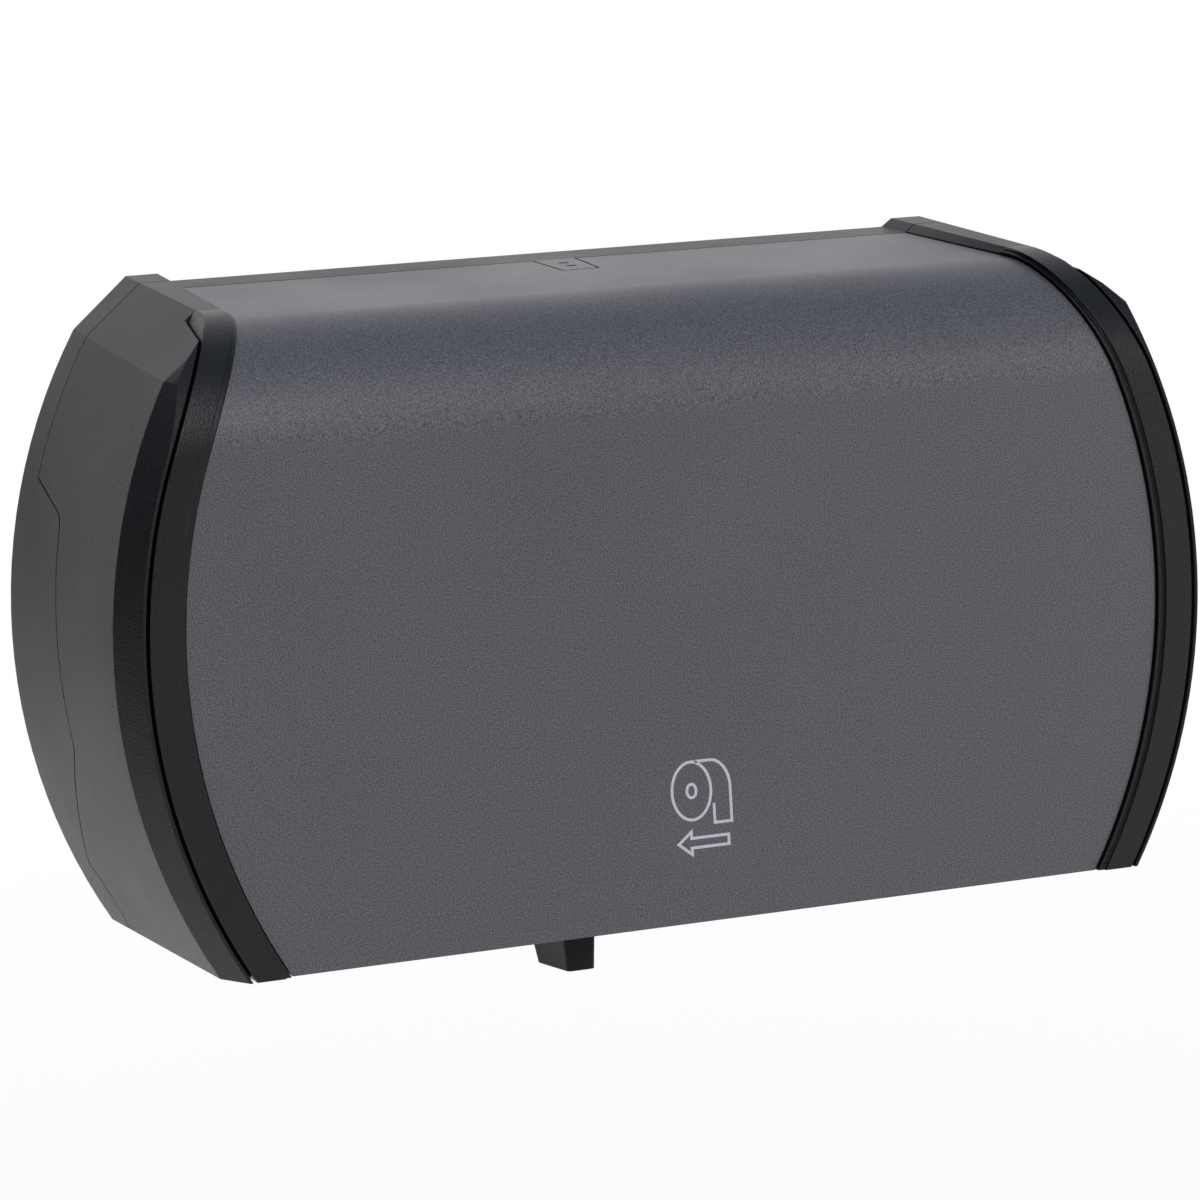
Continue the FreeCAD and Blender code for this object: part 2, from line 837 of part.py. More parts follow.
def add_hinge_lug(body, side):
    """A cheek in the bottom corner with the pin's hole, and the slot beside it for the cover's ear."""
    inner = dims.lug_inner * side
    lug = side_sketch(body, inner)
    reach = dims.hinge_depth + dims.lug_radius
    high = dims.hinge_height + dims.lug_radius
    outline(lug, [
        Corner(-reach, dims.wall / 2),
        Corner(-dims.back_wall / 2, dims.wall / 2),
        Corner(-dims.back_wall / 2, high),
        Corner(-reach, high, dims.lug_radius),
    ])
    pad(body, lug, dims.lug_thick, reverse=side < 0)
    hole = side_sketch(body, inner)
    circle(hole, -dims.hinge_depth, dims.hinge_height, dims.hinge_pin_radius + dims.pin_fit)
    pocket(body, hole, dims.lug_thick, reverse=side < 0)
    slot = plan_sketch(body, ZERO)
    near = (dims.lug_inner + dims.lug_thick) * side
    wide = (dims.ear_thick + dims.part_gap * 2) * side
    left, right = (near, near + wide) if side > 0 else (near + wide, near)
    rectangle(slot, left, -(dims.parting_depth + dims.overrun), right, -dims.back_wall)
    pocket(body, slot, dims.wall * 2, both_ways=True)


# Cover: two end caps, two lips and the panel between them

def end_loft(body, run, stages, inside, skin):
    """Lofts an end form through its stages, each a depth with the inset of the round end there."""
    for stage, following in zip(stages, stages[1:]):
        sketches = []
        for depth, inset in (stage, following):
            sketch = front_sketch(body, depth)
            closing = [Corner(inside, panel_top(depth) - skin), Corner(inside, skin)]
            outline(sketch, run(depth, inset) + closing)
            sketches.append(sketch)
        loft(body, *sketches)


def end_form(label):
    """The right end's outer form, solid: drafted side, slanted rim, flat front and rolled top."""
    body = new_body(label)
    stages = [
        (dims.parting_depth, draft_at(dims.parting_depth)),
        (dims.shell_depth, dims.side_draft),
        (dims.crest_depth, dims.crest_inset),
    ]
    end_loft(body, outer_end, stages, dims.rail_half, ZERO)
    trim_end_form(body, dims.crest_depth, dims.body_height, dims.crest_round)
    return body


def make_end_cap():
    outer = end_form("end_cap_form")
    cut_behind_parting(outer)
    cut_inside_edge(outer)
    cavity = new_body("end_cap_cavity")
    back = dims.parting_depth - dims.overrun / 2
    inner_front = dims.crest_depth - dims.wall
    stages = [
        (back, draft_at(back)),
        (dims.shell_depth, dims.side_draft),
        (inner_front, rim_inset(inner_front)),
    ]
    end_loft(cavity, inner_end, stages, dims.rail_half - dims.overrun, dims.wall)
    trim_end_form(cavity, inner_front, dims.body_height - dims.wall, dims.crest_round - dims.wall)
    shell = cut("end_cap_shell", outer, cavity)
    right = joined("end_cap_right", [shell, make_ear(), make_shelf()])
    keep("end_cap_right", right)
    keep("end_cap_left", mirrored(right, "end_cap_left"))


def make_shelf():
    """Strip inside the rim of an end cap, which the lip lies on and is screwed to."""
    body = new_body("lip_shelf")
    strip = front_sketch(body, dims.shelf_back_depth)
    in_wall = rim_inset(dims.shelf_front_depth) + dims.wall / 4
    roll_foot = roll_over(dims.crest_depth, dims.body_height, dims.crest_round)[1][1]
    edge_strip(strip, dims.shelf_inset, in_wall, dims.wall / 2, roll_foot - dims.part_gap)
    pad(body, strip, dims.shelf_thick)
    holes = front_sketch(body, dims.shelf_back_depth)
    for x, height in bezel_screw_places():
        circle(holes, x, height, dims.small_shank_radius + dims.screw_fit)
    pocket(body, holes, dims.shelf_thick)
    return body


def trim_end_form(body, front, top, radius):
    """Rolls the top of an end form over into its front."""
    sketch = side_sketch(body)
    outside_roll(sketch, front, top, radius, dims.parting_depth - dims.overrun)
    pocket(body, sketch, dims.body_width * 2, both_ways=True)


def cut_behind_parting(body):
    """Leaves the part of an end form that lies in front of the tray's edge."""
    sketch = side_sketch(body)
    high = dims.body_height + dims.overrun
    run = parting(dims.part_gap, COVER_FOOT_SHARE)
    outline(sketch, [
        Corner(-(dims.parting_depth + dims.part_gap), high),
        Corner(ZERO, high),
        Corner(ZERO, -dims.overrun),
        Corner(run[-1].u, -dims.overrun),
        run[5],
        Bend(run[4].radius, left=False),
        run[3],
        run[2],
        run[1],
        run[0],
    ])
    pocket(body, sketch, dims.body_width * 2, both_ways=True)
    # The bottom flange starts further forward, clear of the hinge
    flange = plan_sketch(body, ZERO)
    inside = end_curve(dims.wall, draft_at(dims.flange_back), dims.wall)
    rectangle(flange, ZERO, -dims.flange_back, inside, ZERO)
    pocket(body, flange, dims.wall * 2, both_ways=True)


def cut_inside_edge(body):
    """Clears the end form for the panel all along its edge, and for the lip in front."""
    high = dims.body_height + dims.overrun
    low = -dims.overrun / 2
    far = dims.crest_depth + dims.overrun
    cuts = [
        (ZERO, low, high, dims.panel_inset - dims.panel_gap / 2),
        (dims.lip_start_depth - dims.seat_gap, dims.lip_root_height, high, dims.groove_inset),
        (dims.shelf_front_depth, low, dims.lip_root_height, dims.groove_inset),
    ]
    for start, bottom, top, inset in cuts:
        ceiling = dims.body_height if top is high else top
        sketch = front_sketch(body, start)
        outline(sketch, [
            Corner(ZERO, bottom),
            Corner(end_curve(bottom, inset), bottom),
            Bend(dims.end_radius),
            Corner(end_curve(ceiling, inset), ceiling),
            Corner(end_curve(ceiling, inset), top + dims.part_gap),
            Corner(ZERO, top + dims.part_gap),
        ])
        pocket(body, sketch, far - start)


def make_ear():
    """Ear of the cover's hinge, on the bottom flange of the end cap."""
    body = new_body("hinge_ear")
    near = dims.lug_inner + dims.lug_thick + dims.part_gap
    high = dims.hinge_height + dims.lug_radius
    low = dims.hinge_height - dims.lug_radius
    back = dims.hinge_depth - dims.lug_radius
    seat = dims.flange_back + dims.part_gap
    round_end = dims.lug_radius - dims.part_gap / 2
    sketch = side_sketch(body, near)
    outline(sketch, [
        Corner(-dims.ear_reach, dims.wall / 2),
        Corner(-seat, dims.wall / 2),
        Corner(-seat, low),
        Corner(-back, low, round_end),
        Corner(-back, high, round_end),
        Corner(-dims.ear_reach, high - dims.wall),
    ])
    pad(body, sketch, dims.ear_thick)
    hole = side_sketch(body, near)
    circle(hole, -dims.hinge_depth, dims.hinge_height, dims.hinge_pin_radius + dims.running_fit)
    pocket(body, hole, dims.ear_thick)
    return body


def edge_strip(sketch, inner, outer, bottom, top):
    """A curved strip between two copies of the round end."""
    outline(sketch, [
        Corner(end_curve(bottom, inner), bottom),
        Corner(end_curve(bottom, outer), bottom),
        Bend(dims.end_radius),
        Corner(end_curve(top, outer), top),
        Corner(end_curve(top, inner), top),
        Bend(dims.end_radius, left=False),
    ])


def lip_band(label, proud, inner, outer, back, foot):
    """A band that follows the panel's section between two insets of the round end."""
    body = new_body(label)
    section = side_sketch(body, dims.rail_half - dims.overrun)
    cover_band(section, back, -proud, proud + dims.panel_thick + dims.ledge_thick, foot)
    pad(body, section, dims.half_width)
    high = dims.body_height
    low = -dims.overrun / 2
    far = dims.crest_depth + dims.overrun
    beyond = front_sketch(body, ZERO)
    outline(beyond, [
        Corner(end_curve(low, outer), low),
        Corner(dims.body_width, low),
        Corner(dims.body_width, high),
        Corner(end_curve(high, outer), high),
        Bend(dims.end_radius, left=False),
    ])
    pocket(body, beyond, far)
    within = front_sketch(body, ZERO)
    outline(within, [
        Corner(ZERO, low),
        Corner(end_curve(low, inner), low),
        Bend(dims.end_radius),
        Corner(end_curve(high, inner), high),
        Corner(ZERO, high),
    ])
    pocket(body, within, far)
    return body


def make_bezel():
    """Lip round the panel's end: a proud face, a step down to the panel and a ledge behind it."""
    start = dims.lip_start_depth
    face = lip_band(
        "lip_face", dims.ridge_height + dims.part_gap, dims.step_inset, dims.lip_inset, start, ZERO,
    )
    pilots = front_sketch(face, dims.lip_back_depth)
    for x, height in bezel_screw_places():
        circle(pilots, x, height, dims.small_shank_radius + dims.screw_fit)
    pocket(face, pilots, dims.ledge_thick + dims.screw_skin)
    front = overlap("lip_front", [face, end_form("lip_form")])
    step = lip_band(
        "lip_step", dims.ridge_height - dims.step_drop, dims.panel_inset,
        dims.step_inset - dims.step_width / 2, start, ZERO,
    )
    ledge = lip_band(
        "lip_ledge", -dims.panel_thick, dims.panel_inset + dims.ledge_width, dims.panel_inset,
        dims.ledge_back, dims.part_gap,
    )
    right = joined("bezel_right", [front, step, ledge])
    keep("bezel_right", right)
    keep("bezel_left", mirrored(right, "bezel_left"))


def bezel_screw_places():
    inset = (dims.lip_inset + dims.shelf_inset) / 2
    heights = [dims.bezel_screw_height + dims.bezel_screw_spacing * index for index in range(3)]
    return [(end_curve(height, inset), height) for height in heights]


def make_front_panel():
    body = new_body("front_panel")
    section = side_sketch(body)
    cover_band(section, dims.parting_depth + dims.part_gap, ZERO, dims.panel_thick, ZERO)
    pad(body, section, dims.body_width, both_ways=True)
    high = dims.body_height
    low = -dims.overrun / 2
    inset = dims.panel_inset + dims.panel_gap
    ends = front_sketch(body, ZERO)
    for side in (1, -1):
        outline(ends, [
            Corner(end_curve(low, inset) * side, low),
            Corner(dims.body_width * side, low),
            Corner(dims.body_width * side, high),
            Corner(end_curve(high, inset) * side, high),
            Bend(dims.end_radius, left=side < 0),
        ])
    pocket(body, ends, dims.panel_depth * 2)
    notch = plan_sketch(body, dims.screw_height)
    tongue_outline(notch, dims.tongue_gap, ZERO)
    pocket(body, notch, dims.body_height)
    return keep("front_panel", body)


def tongue_outline(sketch, gap, back):
    """Plan of the lock tongue, or of the notch round it."""
    front = dims.tongue_depth + gap
    outline(sketch, [
        Corner(-(dims.tongue_half_back + gap), -back),
        Corner(-(dims.tongue_half_front + gap), -front, dims.tongue_corner),
        Corner(dims.tongue_half_front + gap, -front, dims.tongue_corner),
        Corner(dims.tongue_half_back + gap, -back),
    ])


def make_top_rail():
    body = new_body("top_rail")
    section = side_sketch(body)
    under_panel(section, dims.rail_back_depth, dims.rail_front_depth, dims.panel_thick, dims.rail_thick)
    pad(body, section, dims.rail_half * 2, both_ways=True)
    catch_screw_holes(body)
    return keep("top_rail", body)


def catch_screw_holes(body):
    holes = plan_sketch(body, dims.screw_height)
    for side in (1, -1):
        circle(
            holes, dims.catch_screw_offset * side, -dims.catch_screw_depth,
            dims.small_shank_radius + dims.screw_fit,
        )
    pocket(body, holes, dims.body_height)


def under_panel(sketch, back, front, outer, thick):
    """Section of a flat strip under the sloping top."""
    top = dims.body_height - dims.ridge_height
    heights = []
    for depth, inside in ((back, outer), (front, outer), (front, outer + thick), (back, outer + thick)):
        heights.append(Corner(-depth, top - slope() * depth - inside * slope_length()))
    outline(sketch, heights)


def make_latch_catch():
    body = new_body("latch_catch")
    section = side_sketch(body)
    under = dims.panel_thick + dims.rail_thick
    under_panel(section, dims.bar_back_depth, dims.catch_front_depth, under, dims.catch_thick)
    pad(body, section, dims.catch_half * 2, both_ways=True)
    window = plan_sketch(body, dims.screw_height)
    rectangle(
        window, -dims.catch_window_half, -dims.catch_window_front,
        dims.catch_window_half, -dims.bar_front_depth,
    )
    pocket(body, window, dims.body_height)
    catch_screw_holes(body)
    return keep("latch_catch", body)


# Lock tongue, latch lever and what carries them

def plate_floor(depth):
    """Height of the bracket's top, which carries the key plate clear of the panel's underside."""
    return panel_top(depth) - (dims.panel_thick + dims.part_gap) * slope_length()


def make_key_plate():
    body = new_body("key_plate")
    section = side_sketch(body)
    back = dims.parting_depth
    front = dims.tongue_depth + dims.overrun
    outline(section, [
        Corner(-back, panel_top(back)),
        Corner(-front, panel_top(front)),
        Corner(-front, plate_floor(front)),
        Corner(-back, plate_floor(back)),
    ])
    pad(body, section, dims.tongue_half_back * 4, both_ways=True)
    rest = plan_sketch(body, dims.screw_height)
    wide = dims.tongue_half_back * 3
    far = front + dims.overrun
    outline(rest, [
        Corner(-wide, ZERO), Corner(-wide, -far), Corner(wide, -far), Corner(wide, ZERO),
    ])
    tongue_outline(rest, ZERO, dims.seat_gap)
    pocket(body, rest, dims.body_height)
    slots = plan_sketch(body, dims.screw_height)
    half_wide = dims.key_slot_wide / 2
    half_deep = dims.key_slot_deep / 2
    for depth in (dims.key_slot_first, dims.key_slot_second):
        rectangle(slots, -half_wide, -(depth + half_deep), half_wide, -(depth - half_deep))
    pocket(body, slots, dims.body_height)
    return keep("key_plate", body)


def bracket_half():
    return dims.lever_half + dims.lever_play + dims.bracket_wall


def make_latch_bracket():
    body = new_body("latch_bracket")
    section = side_sketch(body)
    back = dims.back_wall
    front = dims.bracket_reach
    outline(section, [
        Corner(-back, dims.bracket_foot_height),
        Corner(-back, plate_floor(back)),
        Corner(-front, plate_floor(front)),
        Corner(-front, dims.bracket_foot_height, dims.cheek_round),
    ])
    pad(body, section, bracket_half() * 2, both_ways=True)
    ears = front_sketch(body, dims.back_wall)
    ear_reach = bracket_screw_offset() + dims.small_head_radius + dims.screw_edge
    ear_top = dims.bracket_foot_height + dims.bracket_ear_height
    rectangle(ears, -ear_reach, dims.bracket_foot_height, ear_reach, ear_top)
    pad(body, ears, dims.bracket_wall)
    channel = front_sketch(body, dims.web_depth)
    inside = dims.lever_half + dims.lever_play
    floor = dims.bracket_foot_height + dims.bracket_wall
    rectangle(channel, -inside, floor, inside, dims.body_height)
    pocket(body, channel, dims.shell_depth)
    hole = side_sketch(body)
    circle(hole, -dims.pivot_depth, pivot_height(), dims.latch_pin_radius + dims.pin_fit)
    pocket(body, hole, bracket_half() * 4, both_ways=True)
    holes = front_sketch(body, ZERO)
    for x in (bracket_screw_offset(), -bracket_screw_offset()):
        circle(holes, x, bracket_screw_height(), dims.small_shank_radius + dims.screw_fit)
    pocket(body, holes, dims.web_depth)
    return keep("latch_bracket", body)


def pivot_height():
    return dims.lever_foot_height + dims.lever_boss_half


def bracket_screw_offset():
    return bracket_half() + dims.screw_edge + dims.small_head_radius


def bracket_screw_height():
    return dims.bracket_foot_height + dims.bracket_ear_height / 2


def make_latch_lever():
    """Hooked lever with two studs under the key slots."""
    body = new_body("latch_lever")
    foot = dims.lever_foot_height
    top = foot + dims.lever_thick
    boss_top = pivot_height() + dims.lever_boss_half
    boss_back = dims.pivot_depth - dims.lever_boss_half
    boss_front = dims.pivot_depth + dims.lever_boss_half
    hook_top = top + dims.hook_rise
    run = [
        Corner(-boss_back, foot, dims.lever_boss_half / 2),
        Corner(-boss_back, boss_top, dims.lever_boss_half),
        Corner(-boss_front, boss_top),
        Corner(-boss_front, top),
    ]
    for depth in (dims.key_slot_first, dims.key_slot_second):
        near = depth - dims.post_half
        past = depth + dims.post_half
        stud_top = top + dims.post_rise
        run += [Corner(-near, top), Corner(-near, stud_top), Corner(-past, stud_top), Corner(-past, top)]
    run += [
        Corner(-dims.hook_back_depth, top),
        Corner(-dims.hook_back_depth, hook_top),
        Corner(-(dims.hook_front_depth - dims.hook_nose), hook_top),
        Corner(-dims.hook_front_depth, top),
        Corner(-dims.hook_front_depth, foot),
    ]
    section = side_sketch(body)
    outline(section, run)
    pad(body, section, dims.lever_half * 2, both_ways=True)
    hole = side_sketch(body)
    circle(hole, -dims.pivot_depth, pivot_height(), dims.latch_pin_radius + dims.running_fit)
    pocket(body, hole, dims.lever_half * 4, both_ways=True)
    return keep("latch_lever", body)


def make_latch_spring():
    """Bent steel strip that stands on the bracket's floor and pushes the lever up."""
    body = new_body("latch_spring")
    floor = dims.bracket_foot_height + dims.bracket_wall
    tip_top = dims.lever_foot_height - dims.seat_gap
    back = dims.web_depth + dims.spring_back_gap
    front = dims.bracket_reach - dims.spring_tip_gap
    rise = (tip_top - floor) / (front - back)
    upright_thick = dims.spring_thick * root(rise * rise + 1)
    section = side_sketch(body)
    inner_bend = back + (dims.spring_thick + upright_thick) / rise
    outline(section, [
        Corner(-back, floor, dims.spring_thick),
        Corner(-front, tip_top),
        Corner(-front, tip_top - upright_thick),
        Corner(-inner_bend, floor + dims.spring_thick),
        Corner(-front, floor + dims.spring_thick),
        Corner(-front, floor),
    ])
    pad(body, section, dims.spring_half * 2, both_ways=True)
    return keep("latch_spring", body)


def pin(label, radius, head_radius, head_thick, length, inner, depth, height):
    """A headed pin along X: its head lies inside the starting plane."""
    body = new_body(label)
    shank = side_sketch(body, inner)
    circle(shank, -depth, height, radius)
    pad(body, shank, length)
    head = side_sketch(body, inner)
    circle(head, -depth, height, head_radius)
    pad(body, head, head_thick, reverse=True)
    return body


def make_pins():
    length = dims.lug_thick + dims.part_gap + dims.ear_thick + dims.hinge_pin_past
    right = pin(
        "hinge_pin_right", dims.hinge_pin_radius, dims.hinge_head_radius, dims.hinge_head_thick,
        length, dims.lug_inner, dims.hinge_depth, dims.hinge_height,
    )
    keep("hinge_pin_right", right)
    keep("hinge_pin_left", mirrored(right, "hinge_pin_left"))
    latch = pin(
        "latch_pin", dims.latch_pin_radius, dims.latch_pin_radius * 2, dims.latch_pin_radius,
        bracket_half() * 2 + dims.part_gap, -bracket_half(), dims.pivot_depth, pivot_height(),
    )
    keep("latch_pin", latch)


# Roll posts and hubs, the same on both sides

def make_spindle(name, side):
    where = {"x": dims.spindle_spread * side, "height": dims.spindle_height}
    seat = dims.back_wall
    flange = seat + dims.post_flange_thick
    shoulder = flange + dims.post_shoulder_rise
    bore = dims.large_shank_radius + dims.screw_fit
    bore_end = dims.post_reach - dims.hub_screw_length - dims.part_gap
    post = new_body(f"spindle_post_{name}", **where)
    turned(post, [
        (ZERO, seat), (dims.post_flange_radius, seat), (dims.post_flange_radius, flange),
        (dims.post_shoulder_radius, flange), (dims.post_shoulder_radius, shoulder),
        (dims.post_radius, shoulder), (dims.post_radius, dims.post_reach),
        (bore, dims.post_reach), (bore, bore_end), (ZERO, bore_end),
    ])
    hole = front_sketch(post, seat)
    circle(hole, ZERO, dims.post_screw_circle, dims.large_shank_radius + dims.screw_fit)
    around(post, pocket(post, hole, dims.post_flange_thick), 3)
    keep(f"spindle_post_{name}", post)

    start = shoulder + dims.hub_end_gap
    end = dims.post_reach - dims.seat_gap
    inner = dims.post_radius + dims.running_fit
    face = start + dims.hub_flange_thick
    hub = new_body(f"roll_hub_{name}", **where)
    turned(hub, [
        (inner, start), (dims.hub_flange_radius, start), (dims.hub_flange_radius, face),
        (dims.hub_radius, face), (dims.hub_radius, end - dims.hub_nose),
        (dims.hub_radius - dims.hub_nose, end), (inner, end),
    ])
    keep(f"roll_hub_{name}", hub)

    cap = screw(
        f"hub_screw_{name}", dims.large_shank_radius, dims.washer_head_radius, dims.washer_head_thick,
        dims.hub_screw_length, HEAD_TO_FRONT, y=-dims.post_reach, **where,
    )
    keep(f"hub_screw_{name}", cap)


def post_screw_places():
    """Three screws round each post."""
    places = []
    for side in (1, -1):
        for turn in range(3):
            angle = math.radians(90 + 120 * turn)
            x = dims.spindle_spread * side + dims.post_screw_circle * math.cos(angle)
            places.append((x, dims.spindle_height + dims.post_screw_circle * math.sin(angle)))
    return places


def make_post_screws():
    """Screws through each post's flange into the tray."""
    seat = dims.back_wall + dims.post_flange_thick
    screws = []
    for x, height in post_screw_places():
        screws.append(screw(
            "post_screw", dims.large_shank_radius, dims.large_head_radius, dims.large_head_thick,
            seat - dims.screw_skin, HEAD_TO_FRONT, x=x, y=-seat, height=height,
        ))
    keep("post_screws", group("post_screws", screws))


# Tissue exit: track, sliding door and its handle

def door_floor():
    return dims.wall + dims.groove_floor + dims.door_play


def make_door_track():
    body = new_body("door_track")
    back = dims.back_wall + dims.seat_gap
    frame = plan_sketch(body, dims.wall)
    rectangle(frame, -dims.track_half, -dims.track_front_depth, dims.track_half, -back)
    pad(body, frame, dims.track_rise)
    inside = dims.track_half - dims.track_side
    opening = plan_sketch(body, dims.wall)
    rectangle(opening, -inside, -dims.exit_front_depth, inside, -dims.exit_back_depth)
    pocket(body, opening, dims.track_rise)
    groove = plan_sketch(body, dims.wall + dims.groove_floor)
    rectangle(
        groove, -inside, -(dims.exit_front_depth + dims.groove_depth),
        inside, -(dims.exit_back_depth - dims.groove_depth),
    )
    pocket(body, groove, dims.door_thick + dims.door_play * 2)
    holes = plan_sketch(body, dims.wall)
    for x in track_screw_places():
        circle(holes, x, -track_screw_depth(), dims.large_shank_radius + dims.screw_fit)
    pocket(body, holes, dims.track_rise)
    return keep("door_track", body)


def track_screw_depth():
    return (dims.back_wall + dims.seat_gap + dims.exit_back_depth - dims.groove_depth) / 2


def track_screw_places():
    return [dims.track_screw_spacing * index for index in (-1, 0, 1)]


def make_reserve_door():
    body = new_body("reserve_door")
    back = dims.exit_back_depth - dims.groove_depth + dims.door_play
    front = dims.exit_front_depth + dims.groove_depth - dims.door_play
    plate = plan_sketch(body, door_floor())
    rectangle(plate, -dims.door_left, -front, dims.door_right, -back)
    pad(body, plate, dims.door_thick)
    rib = plan_sketch(body, door_floor() + dims.door_thick)
    right = dims.door_right - dims.door_rib_margin
    rib_back = dims.exit_back_depth + dims.door_rib_margin
    rib_front = dims.exit_front_depth - dims.door_rib_margin
    rectangle(rib, right - dims.door_rib_thick, -rib_front, right, -rib_back)
    first_rib = pad(body, rib, dims.door_rib_rise)
    row = repeat(body, first_rib, "X_Axis", dims.door_rib_spacing, 4)
    row.Reversed = True
    holes = plan_sketch(body, door_floor())
    for depth in handle_screw_depths():
        circle(holes, -dims.handle_centre, -depth, dims.small_shank_radius + dims.screw_fit)
    pocket(body, holes, dims.door_thick)
    return keep("reserve_door", body)


def handle_screw_depths():
    middle = dims.handle_front_depth - dims.handle_length / 2
    return (middle - dims.handle_screw_spacing / 2, middle + dims.handle_screw_spacing / 2)


def handle_plan(sketch, length, width):
    half = width / 2
    back_half = half + dims.handle_flare
    front = dims.handle_front_depth
    corners = ((-half, -front), (half, -front), (back_half, length - front), (-back_half, length - front))
    outline(sketch, [Corner(u - dims.handle_centre, v, dims.handle_corner) for u, v in corners])


def make_door_handle():
    body = new_body("door_handle")
    top = plan_sketch(body, door_floor())
    handle_plan(top, dims.handle_length, dims.handle_width)
    tip = plan_sketch(body, -dims.handle_drop)
    handle_plan(tip, dims.handle_tip_length, dims.handle_tip_width)
    loft(body, top, tip)
    holes = plan_sketch(body, door_floor())
    for depth in handle_screw_depths():
        circle(holes, -dims.handle_centre, -depth, dims.small_shank_radius + dims.screw_fit)
    pocket(body, holes, dims.handle_screw_length, reverse=True)
    return keep("door_handle", body)


# Screws that share a node

def small_screw(length, rotation, **where):
    return screw(
        "small_screw", dims.small_shank_radius, dims.small_head_radius, dims.small_head_thick,
        length, rotation, **where,
    )


def make_screw_groups():
    make_post_screws()
    rail_top = dims.wall + dims.track_rise
    track = []
    for x in track_screw_places():
        track.append(screw(
            "track_screw", dims.large_shank_radius, dims.large_head_radius, dims.large_head_thick,
            rail_top - dims.screw_skin, HEAD_UP, x=x, y=-track_screw_depth(), height=rail_top,
        ))
    keep("track_screws", group("track_screws", track))
    bracket = []
    for x in (bracket_screw_offset(), -bracket_screw_offset()):
        bracket.append(small_screw(
            dims.web_depth - dims.screw_skin, HEAD_TO_FRONT,
            x=x, y=-dims.web_depth, height=bracket_screw_height(),
        ))
    keep("bracket_screws", group("bracket_screws", bracket))
    handle = []
    for depth in handle_screw_depths():
        handle.append(small_screw(
            dims.handle_screw_length, HEAD_UP, x=-dims.handle_centre, y=-depth,
            height=door_floor() + dims.door_thick,
        ))
    keep("handle_screws", group("handle_screws", handle))
    bezel = []
    for x, height in bezel_screw_places():
        for side in (1, -1):
            bezel.append(small_screw(
                dims.panel_inside - dims.shelf_back_depth, HEAD_TO_WALL,
                x=x * side, y=-dims.shelf_back_depth, height=height,
            ))
    keep("bezel_screws", group("bezel_screws", bezel))
    under = dims.panel_thick + dims.rail_thick + dims.catch_thick
    lowest = dims.catch_screw_depth + dims.small_head_radius
    seat = dims.body_height - dims.ridge_height - slope() * lowest - under * slope_length()
    catch = []
    for side in (1, -1):
        catch.append(small_screw(
            dims.catch_thick + dims.rail_thick - dims.screw_skin, HEAD_DOWN,
            x=dims.catch_screw_offset * side, y=-dims.catch_screw_depth, height=seat,
        ))
    keep("catch_screws", group("catch_screws", catch))


make_back_housing()
make_end_cap()
make_bezel()
make_front_panel()
make_top_rail()
make_latch_catch()
make_key_plate()
make_latch_bracket()
make_latch_lever()
make_latch_spring()
make_pins()
for spindle_name, spindle_side in (("left", -1), ("right", 1)):
    make_spindle(spindle_name, spindle_side)
make_door_track()
make_reserve_door()
make_door_handle()
make_screw_groups()
doc.recompute()

for item in doc.Objects:
    if {"Invalid", "Error"} & set(item.State):
        raise RuntimeError(f"{item.Label} did not build")
os.makedirs("parts", exist_ok=True)
for label, item in nodes.items():
    shape = item.Shape
    if shape.isNull() or not shape.isValid() or not shape.Solids:
        raise RuntimeError(f"{label} has no valid solid")
for label, item in nodes.items():
    item.Shape.exportStep(os.path.join("parts", f"{label}.step"))
    print(label, len(item.Shape.Solids), round(item.Shape.Volume))
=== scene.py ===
import json
import math

import bpy
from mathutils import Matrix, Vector

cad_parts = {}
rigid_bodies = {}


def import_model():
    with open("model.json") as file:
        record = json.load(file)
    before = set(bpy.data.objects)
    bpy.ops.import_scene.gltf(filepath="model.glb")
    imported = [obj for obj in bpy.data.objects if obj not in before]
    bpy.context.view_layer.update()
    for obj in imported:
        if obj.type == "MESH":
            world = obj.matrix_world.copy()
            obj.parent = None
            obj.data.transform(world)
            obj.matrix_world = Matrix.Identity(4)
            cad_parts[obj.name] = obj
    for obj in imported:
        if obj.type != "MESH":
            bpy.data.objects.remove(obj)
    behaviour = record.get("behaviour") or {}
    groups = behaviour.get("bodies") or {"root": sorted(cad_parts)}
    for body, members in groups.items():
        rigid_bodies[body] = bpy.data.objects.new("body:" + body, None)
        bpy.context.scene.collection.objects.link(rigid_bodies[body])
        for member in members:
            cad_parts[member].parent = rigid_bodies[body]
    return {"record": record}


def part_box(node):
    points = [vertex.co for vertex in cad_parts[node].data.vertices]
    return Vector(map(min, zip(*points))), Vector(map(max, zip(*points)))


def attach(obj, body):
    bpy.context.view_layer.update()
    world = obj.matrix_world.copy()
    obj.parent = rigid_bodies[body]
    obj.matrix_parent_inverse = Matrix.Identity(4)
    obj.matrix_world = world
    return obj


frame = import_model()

# Whatever an opened Blender file starts with isn't part of the dispenser
for leftover in [thing for thing in bpy.data.objects if thing.name in ("Cube", "Camera", "Light")]:
    bpy.data.objects.remove(leftover, do_unlink=True)
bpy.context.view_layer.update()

MM = 0.001
scene = bpy.context.scene
scene.view_settings.view_transform = "Standard"


# Helpers

def linear(hex_code):
    """The linear colour of an sRGB hex value."""
    shares = [int(hex_code[start:start + 2], 16) / 255 for start in (1, 3, 5)]
    curve = [s / 12.92 if s <= 0.04045 else ((s + 0.055) / 1.055) ** 2.4 for s in shares]
    return (*curve, 1.0)


